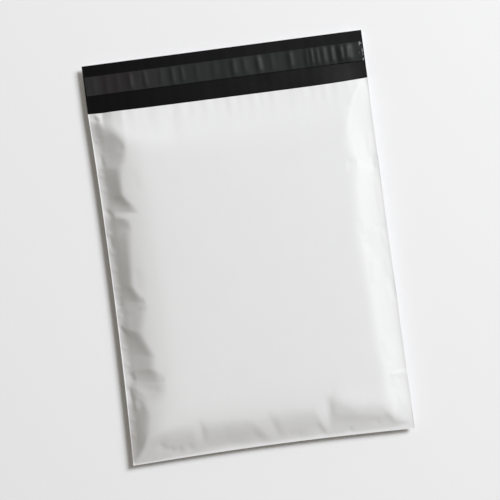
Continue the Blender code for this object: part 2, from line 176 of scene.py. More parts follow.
# A crease runs straight between two places and dies out at both. A height under 0 makes it a dent. Folds
# lean, so a ridge is wider by FOLD_LEAN to the left of the way it runs, and a dent to the right of it.
FOLD_LEAN = 2.2
CREASE_SQUARENESS = 3  # the higher, the closer to its ends a crease keeps its height
Crease = namedtuple("Crease", "across down across_end down_end width height")
FRONT_CREASES = (
    # short pleats from the mouth down
    Crease(0.0580, 0.0440, 0.0580, 0.0680, 0.0026, -0.00010),
    Crease(0.0700, 0.0440, 0.0700, 0.0620, 0.0020, -0.00007),
    Crease(0.0830, 0.0420, 0.0830, 0.0900, 0.0040, -0.00022),
    Crease(0.1010, 0.0440, 0.1010, 0.0660, 0.0024, -0.00009),
    Crease(0.1140, 0.0440, 0.1140, 0.0660, 0.0024, -0.00008),
    Crease(0.1380, 0.0440, 0.1380, 0.0720, 0.0028, -0.00013),
    Crease(0.1630, 0.0440, 0.1630, 0.0700, 0.0028, -0.00012),
    Crease(0.1710, 0.0440, 0.1710, 0.0640, 0.0020, -0.00007),
    Crease(0.1950, 0.0440, 0.1950, 0.0700, 0.0026, -0.00008),
    Crease(0.2060, 0.0440, 0.2060, 0.0620, 0.0020, -0.00007),
    Crease(0.2320, 0.0440, 0.2320, 0.0680, 0.0026, -0.00011),
    # the corner where the left seam meets the mouth
    Crease(0.0010, 0.0480, 0.0105, 0.0575, 0.0017, -0.00120),
    # the left slope, from the mouth down
    Crease(0.0285, 0.0810, 0.0305, 0.0900, 0.0022, -0.00030),
    Crease(0.0072, 0.0890, 0.0090, 0.1040, 0.0018, -0.00050),
    Crease(0.0360, 0.1080, 0.0400, 0.1340, 0.0050, -0.00020),
    Crease(0.0080, 0.1420, 0.0330, 0.1515, 0.0032, 0.00022),
    Crease(0.0045, 0.1435, 0.0130, 0.1545, 0.0018, -0.00070),
    Crease(0.0235, 0.1600, 0.0255, 0.1680, 0.0024, -0.00030),
    Crease(0.0064, 0.1700, 0.0078, 0.1840, 0.0012, -0.00040),
    Crease(0.0280, 0.2060, 0.0280, 0.2300, 0.0050, -0.00030),
    Crease(0.0080, 0.2320, 0.0072, 0.2430, 0.0024, -0.00060),
    Crease(0.0290, 0.2345, 0.0315, 0.2420, 0.0018, -0.00030),
    Crease(0.0040, 0.2595, 0.0105, 0.2695, 0.0014, -0.00060),
    Crease(0.0095, 0.2685, 0.0185, 0.2770, 0.0022, -0.00020),
    Crease(0.0090, 0.3070, 0.0125, 0.3165, 0.0020, -0.00060),
    Crease(0.0080, 0.3180, 0.0235, 0.3350, 0.0022, 0.00022),
    Crease(0.0385, 0.3110, 0.0405, 0.3205, 0.0024, -0.00030),
    Crease(0.0060, 0.3210, 0.0080, 0.3380, 0.0016, -0.00070),
    Crease(0.0098, 0.3350, 0.0108, 0.3450, 0.0013, 0.00050),
    Crease(0.0135, 0.3340, 0.0190, 0.3470, 0.0024, -0.00030),
    Crease(0.0155, 0.3660, 0.0090, 0.3860, 0.0020, -0.00030),
    # small puckers of the left seam
    Crease(0.0020, 0.0730, 0.0080, 0.0780, 0.0010, 0.00030),
    Crease(0.0020, 0.1100, 0.0090, 0.1120, 0.0011, 0.00030),
    Crease(0.0020, 0.1240, 0.0100, 0.1270, 0.0012, 0.00030),
    Crease(0.0030, 0.1680, 0.0090, 0.1700, 0.0011, 0.00030),
    Crease(0.0030, 0.1860, 0.0100, 0.1900, 0.0012, 0.00030),
    Crease(0.0030, 0.2040, 0.0100, 0.2060, 0.0012, 0.00030),
    Crease(0.0030, 0.2210, 0.0110, 0.2240, 0.0013, 0.00030),
    Crease(0.0030, 0.2360, 0.0100, 0.2380, 0.0012, 0.00030),
    Crease(0.0030, 0.2490, 0.0090, 0.2520, 0.0012, 0.00030),
    Crease(0.0030, 0.2810, 0.0100, 0.2840, 0.0012, 0.00030),
    Crease(0.0030, 0.2980, 0.0100, 0.3000, 0.0012, 0.00030),
    Crease(0.0020, 0.3520, 0.0080, 0.3550, 0.0011, 0.00030),
    Crease(0.0020, 0.3680, 0.0070, 0.3700, 0.0011, 0.00030),
    # dents of the bottom slope, from left to right
    Crease(0.0280, 0.3775, 0.0360, 0.3880, 0.0028, -0.00038),
    Crease(0.0390, 0.3830, 0.0420, 0.3910, 0.0022, -0.00028),
    Crease(0.0460, 0.3850, 0.0500, 0.3920, 0.0024, -0.00035),
    Crease(0.0570, 0.3830, 0.0600, 0.3910, 0.0026, -0.00030),
    Crease(0.0710, 0.3690, 0.0765, 0.3750, 0.0024, -0.00014),
    Crease(0.1190, 0.3780, 0.1310, 0.3920, 0.0030, -0.00022),
    Crease(0.1410, 0.3680, 0.1470, 0.3900, 0.0026, -0.00018),
    Crease(0.1570, 0.3830, 0.1600, 0.3910, 0.0024, -0.00015),
    Crease(0.1640, 0.3840, 0.1670, 0.3920, 0.0024, -0.00015),
    Crease(0.1830, 0.3800, 0.1915, 0.3930, 0.0028, -0.00035),
    Crease(0.1990, 0.3550, 0.2000, 0.3780, 0.0028, -0.00030),
    Crease(0.2150, 0.3880, 0.2190, 0.3950, 0.0020, -0.00030),
    Crease(0.2430, 0.3820, 0.2450, 0.3900, 0.0024, -0.00020),
    # broad ridges of the bottom slope, and the dent of its right corner
    Crease(0.2000, 0.3560, 0.2320, 0.3740, 0.0065, 0.00040),
    Crease(0.1990, 0.3710, 0.2640, 0.3805, 0.0075, 0.00105),
    Crease(0.2530, 0.3750, 0.2670, 0.3930, 0.0034, 0.00045),
    Crease(0.2610, 0.3900, 0.2780, 0.3960, 0.0020, -0.00035),
    # the right slope, from the mouth down
    Crease(0.2580, 0.0740, 0.2715, 0.0510, 0.0018, 0.00035),
    Crease(0.2490, 0.1060, 0.2600, 0.0700, 0.0026, 0.00024),
    Crease(0.2580, 0.0970, 0.2730, 0.0910, 0.0026, -0.00010),
    Crease(0.2630, 0.1060, 0.2620, 0.1280, 0.0020, 0.00012),
    Crease(0.2470, 0.1300, 0.2580, 0.1310, 0.0035, -0.00030),
    Crease(0.2725, 0.1000, 0.2720, 0.1220, 0.0016, 0.00015),
    Crease(0.2755, 0.1240, 0.2775, 0.1400, 0.0025, -0.00045),
    Crease(0.2740, 0.1480, 0.2750, 0.1900, 0.0018, 0.00015),
    Crease(0.2660, 0.1955, 0.2775, 0.1955, 0.0022, -0.00016),
    Crease(0.2530, 0.1860, 0.2520, 0.2050, 0.0020, -0.00015),
    Crease(0.2520, 0.2015, 0.2610, 0.2025, 0.0020, -0.00012),
    Crease(0.2520, 0.2090, 0.2630, 0.2110, 0.0018, -0.00012),
    Crease(0.2550, 0.2150, 0.2640, 0.2165, 0.0016, -0.00008),
    Crease(0.2730, 0.2000, 0.2755, 0.2180, 0.0016, 0.00015),
    Crease(0.2610, 0.2260, 0.2590, 0.2520, 0.0028, 0.00020),
    Crease(0.2735, 0.2240, 0.2730, 0.2460, 0.0020, 0.00015),
    Crease(0.2760, 0.2460, 0.2785, 0.2700, 0.0018, -0.00030),
    Crease(0.2600, 0.3040, 0.2650, 0.3280, 0.0040, 0.00025),
    Crease(0.2800, 0.3410, 0.2620, 0.3425, 0.0018, 0.00045),
    Crease(0.2630, 0.3530, 0.2700, 0.3480, 0.0024, 0.00020),
    Crease(0.2660, 0.3580, 0.2770, 0.3840, 0.0036, 0.00020),
    # the right seam's rim, which curls up a little
    Crease(0.2795, 0.0560, 0.2795, 0.1500, 0.0013, 0.00035),
    Crease(0.2795, 0.1400, 0.2793, 0.2600, 0.0013, 0.00035),
    Crease(0.2793, 0.2500, 0.2795, 0.3900, 0.0013, 0.00035),
)
LINER_CREASES = (
    # ridges across the liner, from left to right
    Crease(0.0090, 0.0080, 0.0090, 0.0340, 0.0015, 0.00040),
    Crease(0.0220, 0.0080, 0.0210, 0.0340, 0.0015, 0.00040),
    Crease(0.0325, 0.0080, 0.0330, 0.0340, 0.0014, 0.00030),
    Crease(0.0455, 0.0080, 0.0455, 0.0340, 0.0014, 0.00100),
    Crease(0.0600, 0.0080, 0.0608, 0.0340, 0.0014, 0.00100),
    Crease(0.0765, 0.0080, 0.0760, 0.0340, 0.0014, 0.00050),
    Crease(0.0875, 0.0080, 0.0880, 0.0340, 0.0014, 0.00100),
    Crease(0.0970, 0.0080, 0.0980, 0.0340, 0.0014, 0.00080),
    Crease(0.1120, 0.0080, 0.1125, 0.0340, 0.0014, 0.00050),
    Crease(0.1300, 0.0080, 0.1295, 0.0340, 0.0018, 0.00050),
    Crease(0.1485, 0.0080, 0.1490, 0.0340, 0.0016, 0.00110),
    Crease(0.1595, 0.0100, 0.1600, 0.0300, 0.0014, 0.00080),
    Crease(0.1730, 0.0080, 0.1748, 0.0340, 0.0017, 0.00150),
    Crease(0.1870, 0.0080, 0.1875, 0.0340, 0.0015, 0.00050),
    Crease(0.2055, 0.0080, 0.2060, 0.0340, 0.0016, 0.00110),
    Crease(0.2225, 0.0080, 0.2220, 0.0340, 0.0014, 0.00090),
    Crease(0.2272, 0.0080, 0.2275, 0.0340, 0.0014, 0.00120),
    Crease(0.2325, 0.0080, 0.2330, 0.0340, 0.0014, 0.00100),
    Crease(0.2390, 0.0080, 0.2395, 0.0340, 0.0016, 0.00120),
    Crease(0.2470, 0.0080, 0.2475, 0.0340, 0.0014, 0.00150),
    Crease(0.2560, 0.0080, 0.2570, 0.0340, 0.0022, 0.00260),
    Crease(0.2630, 0.0080, 0.2630, 0.0340, 0.0020, 0.00220),
    # its torn right end
    Crease(0.2755, 0.0100, 0.2790, 0.0150, 0.0009, 0.00060),
    Crease(0.2755, 0.0180, 0.2785, 0.0215, 0.0009, 0.00060),
    Crease(0.2790, 0.0230, 0.2755, 0.0290, 0.0009, 0.00060),
)

# The two bands on the flap: spacing of their columns, thickness, rows, and how a ridge sinks near their edges
LINER_STEP = 0.0012
LINER_FILM = 0.00005
ADHESIVE_STEP = 0.003
ADHESIVE_THICKNESS = 0.0001
BAND_ROWS = 13
BAND_EDGE = 0.004
BAND_EDGE_SHARE = 0.35  # what is left of a ridge's height at the very edge

# The mesh of the bag
SIDE_FINE_WIDTH = 0.043  # the columns are closer over the gathers of the sides
BEAD_COLUMNS = (0.0, 0.4, 1.0, 2.2)  # in radii of the bead
FIRST_ROW = 0.0004
FLAP_ROWS = 15
POCKET_ROWS = 5
BACK_ROW_STRIDE = 3  # the back film takes every third row of the front
NEAREST = 1e-7  # places closer than this count as one
WELD_DISTANCE = 1e-6
SHARP_ANGLE = math.radians(50)

# The materials, with places on the table
RIM_HIGHLIGHT_REACH = 1.2  # the rim's paler colour, partly a painted highlight, reaches this much wider than the bead
SHEEN_FROM, SHEEN_TO = -0.15, 0.13  # the painted sheen grows from left to right between these, towards the key light
# a paler patch on the black film, around this place
PALE_PATCH_PLACE = (0.114, 0.154, 0.0)
PALE_PATCH_REACH, PALE_PATCH_CORE = 0.034, 0.004
LINER_LEFT_FROM, LINER_LEFT_TO = -0.072, -0.058  # the liner's colour changes between these
TORN_GLINT_REACH, TORN_GLINT_CORE = 0.0040, 0.0022  # where the torn end is painted pale, from the liner's right end

# The stage
FLOOR_SIZE = 6.0
FLOOR_DROP = 0.0002  # how far the floor lies under the bag
SEEN_STRENGTH = 0.9  # brightness of the surroundings for the camera and for reflections


class FilmSizes(bpy.types.PropertyGroup):
    """Sizes of the film and of its folds."""

    bag_length: bpy.props.FloatProperty(
        name="Bag length", description="From the bottom fold to the mouth", default=0.350, unit="LENGTH")
    film: bpy.props.FloatProperty(
        name="Film", description="Thickness of one wall", default=0.00007, unit="LENGTH")
    seam_height: bpy.props.FloatProperty(
        name="Seam height", description="Height of the flat seams over the table", default=0.0057,
        unit="LENGTH")
    fill_left: bpy.props.FloatProperty(
        name="Fill at the left", description="Height of the front film over the left seam", default=0.0172,
        unit="LENGTH")
    fill_right: bpy.props.FloatProperty(
        name="Fill at the right", description="Height of the front film over the right seam", default=0.0054,
        unit="LENGTH")
    crown: bpy.props.FloatProperty(
        name="Crown", description="How much more the middle of the front swells", default=0.0015,
        unit="LENGTH")
    left_bow: bpy.props.FloatProperty(
        name="Left bow", description="How far the left seam is pulled in at its middle", default=0.0026,
        unit="LENGTH")
    right_bow: bpy.props.FloatProperty(
        name="Right bow", description="How far the right seam is pulled in at its middle", default=0.0002,
        unit="LENGTH")
    bottom_bow: bpy.props.FloatProperty(
        name="Bottom bow", description="How far the bottom fold is pulled in", default=0.0025, unit="LENGTH")
    mouth_bow: bpy.props.FloatProperty(
        name="Mouth bow", description="How far the mouth is pulled in", default=0.0022, unit="LENGTH")
    bead: bpy.props.FloatProperty(
        name="Bead", description="Radius of the melted rim", default=0.00025, unit="LENGTH")
    side_step: bpy.props.FloatProperty(
        name="Side step", description="Spacing of the mesh over the gathers", default=0.00105, unit="LENGTH")
    middle_step: bpy.props.FloatProperty(
        name="Middle step", description="Spacing of the mesh over the middle", default=0.0014, unit="LENGTH")
    row_step: bpy.props.FloatProperty(
        name="Row step", description="Spacing of the mesh's rows", default=0.00135, unit="LENGTH")


class FilmColours(bpy.types.PropertyGroup):
    """Colours of the films."""

    white: bpy.props.FloatVectorProperty(
        name="White film", description="Outer face of the bag", default=(0.765, 0.765, 0.765),
        subtype="COLOR")
    black: bpy.props.FloatVectorProperty(
        name="Black film", description="Inner face, which shows on the flap",
        default=(0.0012, 0.0012, 0.0012), subtype="COLOR")
    # painted sheen: the black film painted paler towards the right, where the key light is
    painted_sheen: bpy.props.FloatVectorProperty(
        name="Sheen", description="Shine on the black film, towards the right",
        default=(0.0105, 0.0105, 0.0105), subtype="COLOR")
    # the seams' melted bead, painted paler than the film: partly its own colour, partly a painted highlight
    # where the bead catches the light
    rim: bpy.props.FloatVectorProperty(
        name="Melted rim", description="Bead along the side seams", default=(0.84, 0.84, 0.835),
        subtype="COLOR")
    liner: bpy.props.FloatVectorProperty(
        name="Liner", description="Release liner over the black flap",
        default=(0.0085, 0.0100, 0.0094), subtype="COLOR")
    liner_left: bpy.props.FloatVectorProperty(
        name="Liner at the left", description="The liner near its left end",
        default=(0.0100, 0.0082, 0.0084), subtype="COLOR")
    # the torn end's pale colour: partly the torn film itself, partly painted glints where the torn edge
    # catches the light
    glint: bpy.props.FloatVectorProperty(
        name="Glint", description="Torn and stretched film at the liner's right end",
        default=(0.22, 0.22, 0.225), subtype="COLOR")
    adhesive: bpy.props.FloatVectorProperty(
        name="Adhesive", description="Hot-melt adhesive under the liner", default=(0.30, 0.27, 0.20),
        subtype="COLOR")


class StageSettings(bpy.types.PropertyGroup):
    """The floor, the light and the camera."""

    floor: bpy.props.FloatVectorProperty(
        name="Floor", description="Colour of the floor", default=(0.86, 0.86, 0.865), subtype="COLOR")
    key_azimuth: bpy.props.FloatProperty(
        name="Key azimuth", description="Direction of the key light, from +X towards +Y",
        default=math.radians(31), subtype="ANGLE")
    key_elevation: bpy.props.FloatProperty(
        name="Key elevation", description="Height of the key light over the horizon",
        default=math.radians(37), subtype="ANGLE")
    key_distance: bpy.props.FloatProperty(
        name="Key distance", description="From the bag to the key light", default=6.5, unit="LENGTH")
    key_width: bpy.props.FloatProperty(
        name="Key width", description="Side of the square key light", default=2.6, unit="LENGTH")
    fill: bpy.props.FloatProperty(
        name="Fill", description="Share of the light that comes from all around", default=0.25,
        subtype="FACTOR")
    fill_colour: bpy.props.FloatVectorProperty(
        name="Fill colour", description="Colour of the light in the shadows; the key light evens it out",
        default=(1.045, 0.990, 0.875), subtype="COLOR")
    camera_place: bpy.props.FloatVectorProperty(
        name="Camera", description="Where the camera is", default=(-0.0064, -0.0427, 1.3787),
        subtype="TRANSLATION")
    camera_target: bpy.props.FloatVectorProperty(
        name="Target", description="What the camera looks at", default=(0.0018, -0.0035, 0.0057),
        subtype="TRANSLATION")
    camera_turn: bpy.props.FloatProperty(
        name="Camera turn", description="How far the picture's top turns from +Y towards +X",
        default=0.1321, subtype="ANGLE")
    lens: bpy.props.FloatProperty(name="Lens", description="Focal length", default=100.0, unit="CAMERA")


def smooth_step(value):
    """0 under 0, 1 over 1, and a smooth rise in between."""
    value = np.clip(value, 0.0, 1.0)
    return value * value * (3 - 2 * value)


def smooth_min(a, b, softness):
    """The lower of two heights, with the crease between them rounded."""
    share = np.clip(0.5 + 0.5 * (b - a) / softness, 0.0, 1.0)
    return b * (1 - share) + a * share - softness * share * (1 - share)


def blend(a, b, share):
    """From a, where the share is 0, to b, where it is 1."""
    return a + (b - a) * share


def evenly(first, last, step):
    """Places from first to last, about a step apart, without the last one."""
    count = max(1, round((last - first) / step))
    return blend(first, last, np.arange(count) / count)


def section_at(lines, along, depth):
    """Start and end of the slope at each place, read between the two gathers beside it."""
    inward = np.clip(depth / GATHER_REACH, 0.0, 1.0)
    places = [blend(line.rim, line.inner, inward) for line in lines]
    section = [np.full_like(inward, value) for value in lines[0][2:]]
    for first, second, near, far in zip(lines, lines[1:], places, places[1:]):
        passed = np.clip((along - near) / np.maximum(far - near, NEAREST), 0.0, 1.0)
        section = [np.where(along >= near, blend(a, b, passed), value)
                   for a, b, value in zip(first[2:], second[2:], section)]
    return section


def slope_height(side, along, depth, crown):
    """Height of the film over the seams at a depth in from one side of the bag."""
    start, end = section_at(side.gathers, along, depth)
    low = np.minimum(start, 0.0)
    climb = side.foot * np.log1p(np.exp((depth - start) / side.foot))
    share = 1 - np.exp((low - end) / side.easing)
    shoulder = crown * (1 - np.exp((low - np.maximum(depth, low)) / side.easing))
    return smooth_min(share * crown / (end - start) * climb, shoulder, side.shoulder)


def crease_height(creases, across, down):
    """Sum of the ridges and dents at places on the table."""
    total = np.zeros_like(across)
    for crease in creases:
        run = crease.across_end - crease.across
        fall = crease.down_end - crease.down
        share = (across - crease.across) * run + (down - crease.down) * fall
        share = np.clip(share / (run * run + fall * fall), 0.0, 1.0)
        away = np.hypot(across - crease.across - share * run, down - crease.down - share * fall)
        leaning = ((across - crease.across) * fall - (down - crease.down) * run) * crease.height > 0
        width = np.where(leaning, FOLD_LEAN, 1.0) * crease.width
        fading = 1 - np.abs(2 * share - 1) ** CREASE_SQUARENESS
        total += crease.height * fading * np.exp(-((away / width) ** 2))
    return total


class BagShape:
    """Heights and outline of the puffed bag."""

    # Waves across the flap and the mouth, long and short ones
    WAVE_PITCH = 0.023
    WAVE_PHASE = 1.0
    WAVE_SHORT_PITCH = 0.0113
    WAVE_SHORT_SHARE = 0.8  # height of the short waves over that of the long ones
    WAVE_DRIFT = 2.0  # the short waves come closer and wider apart in turns
    WAVE_DRIFT_PITCH = 0.031
    WAVE_MARGIN = 0.020
    WAVE_FADE = 0.012
    LIP_WAVE = 0.00012
    FLAP_WAVE = 0.00025

    # The front film stands higher past the left seam and the bottom fold, over this width and length
    FLANGE_RISE = 0.0014
    FLANGE_WIDTH = 0.013
    FLANGE_LENGTH = 0.030

    # How squarely the outline is pulled in, and how squarely the middle swells
    SIDE_BOW_SQUARENESS = 0.8
    MOUTH_BOW_SQUARENESS = 5
    CROWN_SQUARENESS = 0.6

    # The slit of the mouth, which narrows to nothing over the width MOUTH_SEAM at each end
    MOUTH_GAP = 0.0004
    MOUTH_SEAM = 0.010
    MOUTH_DEPTH = 0.022
    MOUTH_INNER_GAP = 0.0008
    BEAD_WIDTH = 0.0010

    # The slope of the back film, from its rims down to the flat belly
    BELLY_START = 0.004
    BELLY_REACH = 0.027
    BELLY_MOUTH_REACH = 0.070
    BELLY_GATHER = 0.16  # share by which the slope gets wider and narrower along the rim
    BELLY_GATHER_PITCH = 0.047

    def __init__(self, sizes):
        self.sizes = sizes
        self.width = BAG_HIGH.x - BAG_LOW.x
        self.length = sizes.bag_length
        self.flap = BAG_HIGH.y - BAG_LOW.y - sizes.bag_length
        self.seam = sizes.seam_height

    def from_side(self, across):
        return np.minimum(across, self.width - across)

    def film_wave(self, across):
        """Waves across the bag, from 0 to 1, which die out at the side seams."""
        drift = self.WAVE_DRIFT * np.sin(across / self.WAVE_DRIFT_PITCH)
        wave = np.sin(2 * np.pi * across / self.WAVE_PITCH + self.WAVE_PHASE)
        wave += self.WAVE_SHORT_SHARE * np.sin(2 * np.pi * across / self.WAVE_SHORT_PITCH + drift)
        wave = 0.5 + wave / (2 + 2 * self.WAVE_SHORT_SHARE)
        return wave * smooth_step(self.from_side(across) / self.WAVE_MARGIN)

    def flap_wave(self, across):
        return self.FLAP_WAVE * self.film_wave(across)

    def bead_height(self, across):
        return self.sizes.bead * (1 - smooth_step(self.from_side(across) / self.BEAD_WIDTH))

    def round_rim(self, height, across):
        """Draws the film's faces together at the very rim, which makes the bead round."""
        share = np.clip(self.from_side(across) / self.sizes.bead, 0.0, 1.0)
        return self.seam + (height - self.seam) * np.sqrt(1 - (1 - share) ** 2)

    def lip_lift(self, across, from_mouth):
        """How far the front film's lip gapes, fading away from the mouth."""
        lift = self.MOUTH_GAP * smooth_step(self.from_side(across) / self.MOUTH_SEAM)
        lift = lift + self.LIP_WAVE * self.film_wave(across) + self.flap_wave(across)
        return lift * np.exp(-from_mouth / self.WAVE_FADE)

    def swell(self, across, up):
        """How far the front film stands over the seams."""
        from_mouth = self.length - up
        side, end = np.clip(across / self.width, 0, 1), np.clip(up / self.length, 0, 1)
        crown = blend(self.sizes.fill_left, self.sizes.fill_right, side)
        middle = np.sin(np.pi * side) * np.sin(np.pi * end) ** self.CROWN_SQUARENESS
        crown = crown + self.sizes.crown * middle
        height = slope_height(LEFT, from_mouth, across, crown)
        for slope, along, depth in (
            (RIGHT, from_mouth, self.width - across),
            (BOTTOM, across, up),
            (MOUTH, across, from_mouth),
        ):
            height = smooth_min(height, slope_height(slope, along, depth, crown), HIP_SOFTNESS)
        return height

    def blurred_swell(self, across, up):
        """The swell, averaged over its neighbourhood, so that the folds are as soft as the film."""
        total = 0.0
        for aside in (-1, 0, 1):
            for ahead in (-1, 0, 1):
                weight = (2 - abs(aside)) * (2 - abs(ahead)) / 16
                total = total + weight * self.swell(across + aside * BLUR, up + ahead * BLUR)
        return total

    def front(self, across, up):
        """The front film's outer face."""
        from_mouth = self.length - up
        x, y = self.outline(across, up)
        rim = np.minimum(self.from_side(across), up)
        relief = self.blurred_swell(across, up)
        relief = relief + crease_height(FRONT_CREASES, x - BAG_LOW.x, BAG_HIGH.y - y)
        height = self.seam + self.sizes.film + self.bead_height(across) + self.lip_lift(across, from_mouth)
        height = height + np.maximum(relief, 0.0) * smooth_step(rim / self.BEAD_WIDTH)
        flange = smooth_step(across / self.FLANGE_WIDTH) * smooth_step(up / self.FLANGE_LENGTH)
        height = height + self.FLANGE_RISE * flange
        return x, y, self.round_rim(height, across)

    def belly_slope(self, along, depth, reach):
        """0 at the rim and 1 on the belly, at a depth in from one side."""
        wide = reach * (1 + self.BELLY_GATHER * np.cos(2 * np.pi * along / self.BELLY_GATHER_PITCH))
        return smooth_step((depth - self.BELLY_START) / wide)

    def back(self, across, up):
        """The back film's outer face, which lies flat on the table in its middle."""
        from_mouth = self.length - up
        down = np.minimum.reduce([
            self.belly_slope(from_mouth, across, self.BELLY_REACH),
            self.belly_slope(from_mouth, self.width - across, self.BELLY_REACH),
            self.belly_slope(across, up, self.BELLY_REACH),
            smooth_step(from_mouth / self.BELLY_MOUTH_REACH) + 0 * across,
        ])
        wave = self.flap_wave(across) * np.exp(-from_mouth / self.WAVE_FADE)
        height = (self.seam - self.sizes.film - self.bead_height(across) + wave) * (1 - down)
        x, y = self.outline(across, up)
        return x, y, self.round_rim(height, across)

    def mouth_bow(self, side):
        return self.sizes.mouth_bow * (1 - np.abs(2 * side - 1) ** self.MOUTH_BOW_SQUARENESS)

    def outline(self, across, up):
        """Where a place of the flat bag lies, with the rims pulled in between the corners."""
        side, end = across / self.width, up / self.length
        pull = np.sin(np.pi * np.clip(end, 0, 1)) ** self.SIDE_BOW_SQUARENESS
        x = across + BAG_LOW.x + pull * (self.sizes.left_bow * (1 - side) - self.sizes.right_bow * side)
        bow = self.sizes.bottom_bow * np.sin(np.pi * side) * (1 - end) - self.mouth_bow(side) * end
        return x, BAG_LOW.y + up + bow

    def flap_at(self, across, out):
        """Where a place of the flap lies, at a distance out from the mouth."""
        first = BAG_HIGH.y - self.flap - self.mouth_bow(across / self.width)
        return across + BAG_LOW.x, blend(first, BAG_HIGH.y, out / self.flap)

    def flap_face(self, across, out, side):
        """The flap's inner face where side is 1, and its outer face where side is -1."""
        x, y = self.flap_at(across, out)
        height = self.seam + self.flap_wave(across) + side * self.bead_height(across)
        if side < 0:
            height = height - self.sizes.film
        return x, y, self.round_rim(height, across)

    def pocket(self, across, inward, roof):
        """The two faces of the open mouth, inward from 0 at the lip to 1 at the pocket's end."""
        open_share = smooth_step(self.from_side(across) / self.MOUTH_SEAM)
        depth = inward * self.MOUTH_DEPTH * open_share
        lip_x, lip_y, lip_z = self.front(across, np.full_like(across, self.length))
        x, y = self.outline(across, self.length - depth)
        floor = self.seam + self.flap_wave(across) + self.bead_height(across)
        floor = self.round_rim(floor, across)
        if not roof:
            return x, y, floor
        gap = blend(lip_z - self.sizes.film - floor, self.MOUTH_INNER_GAP * open_share, inward)
        under_front = self.front(across, self.length - depth)[2] - self.sizes.film - floor
        return x, y, floor + np.maximum(np.minimum(gap, under_front), 0.0)


def columns_of(shape, sizes):
    """Distances from the left rim, closest at the bead and over the gathers."""
    bead = sizes.bead * np.array(BEAD_COLUMNS)
    left = np.concatenate([bead, evenly(shape.BEAD_WIDTH, SIDE_FINE_WIDTH, sizes.side_step)])
    middle = evenly(SIDE_FINE_WIDTH, shape.width - SIDE_FINE_WIDTH, sizes.middle_step)
    right = shape.width - left[::-1]
    return np.concatenate([left, middle, [shape.width - SIDE_FINE_WIDTH], right])


def rows_of(shape, sizes):
    """Distances from the bottom fold, up to the mouth."""
    rows = evenly(shape.BEAD_WIDTH, shape.length, sizes.row_step)
    return np.concatenate([[0.0, FIRST_ROW], rows, [shape.length]])


def skin_mesh(name, rings, inner_from=None):
    """A closed skin through rings of points, given as an array of ring, column and coordinate.

    From the ring inner_from on, its faces take the second material.
    """
    count, columns = rings.shape[:2]
    index = np.arange(count * columns).reshape(count, columns)
    ahead = np.roll(index, -1, axis=0)
    faces = np.stack([index[:, :-1], index[:, 1:], ahead[:, 1:], ahead[:, :-1]], axis=-1)
    mesh = bpy.data.meshes.new(name)
    mesh.from_pydata(rings.reshape(-1, 3).tolist(), [], faces.reshape(-1, 4).tolist())
    if inner_from is not None:
        inner = np.repeat(np.arange(count) >= inner_from, columns - 1)
        mesh.polygons.foreach_set("material_index", inner.astype(np.int32))
    return mesh


def clean_mesh(mesh):
    """Welds the rims, turns the normals outwards and shades the mesh smooth."""
    bm = bmesh.new()
    bm.from_mesh(mesh)
    bmesh.ops.remove_doubles(bm, verts=bm.verts, dist=WELD_DISTANCE)
    bmesh.ops.dissolve_degenerate(bm, dist=NEAREST, edges=bm.edges)
    bmesh.ops.recalc_face_normals(bm, faces=bm.faces)
    bm.to_mesh(mesh)
    bm.free()
    mesh.shade_smooth()
    mesh.set_sharp_from_angle(angle=SHARP_ANGLE)


def add_rim_highlight_values(mesh, shape):
    """Stores how near each point is to a side seam's rim, for the materials, which paint the rim paler: the
    melted bead, and a painted highlight where it catches the light.
    """
    places = np.empty(len(mesh.vertices) * 3)
    mesh.vertices.foreach_get("co", places)
    x, y = places.reshape(-1, 3)[:, 0], places.reshape(-1, 3)[:, 1]
    up = np.clip(y - BAG_LOW.y, 0.0, shape.length)
    left = shape.outline(np.zeros_like(up), up)[0]
    right = shape.outline(np.full_like(up, shape.width), up)[0]
    near = 1 - smooth_step(np.minimum(x - left, right - x) / (RIM_HIGHLIGHT_REACH * shape.BEAD_WIDTH))
    mesh.attributes.new("rim", "FLOAT", "POINT").data.foreach_set("value", near.astype(np.float32))


def add_piece(mesh, materials, slot, *replaced):
    """An object of the mesh, which rides on the frame in place of the replaced nodes."""
    for material in materials:
        mesh.materials.append(material)
    piece = bpy.data.objects.new(mesh.name, mesh)
    bpy.context.scene.collection.objects.link(piece)
    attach(piece, "root")
    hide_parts(*replaced)
    return piece


def bag_skin(shape, sizes):
    """The front, the back, the pocket of the mouth and both faces of the flap, as one closed skin."""
    across = columns_of(shape, sizes)
    rows = rows_of(shape, sizes)
    back_rows = rows[:-1:BACK_ROW_STRIDE]
    flap_rows = np.linspace(0.0, shape.flap, FLAP_ROWS)
    pocket_rows = np.linspace(0.0, 1.0, POCKET_ROWS)
    rings = [shape.flap_face(across, out, -1) for out in flap_rows[::-1]]
    rings += [shape.back(across, np.full_like(across, up)) for up in back_rows[::-1]]
    rings += [shape.front(across, np.full_like(across, up)) for up in rows]
    inner_from = len(rings)
    rings += [shape.pocket(across, inward, True) for inward in pocket_rows]
    rings += [shape.pocket(across, inward, False) for inward in pocket_rows[::-1]]
    rings += [shape.flap_face(across, out, 1) for out in flap_rows[1:]]
    return skin_mesh("bag_film", np.array(rings).transpose(0, 2, 1), inner_from)


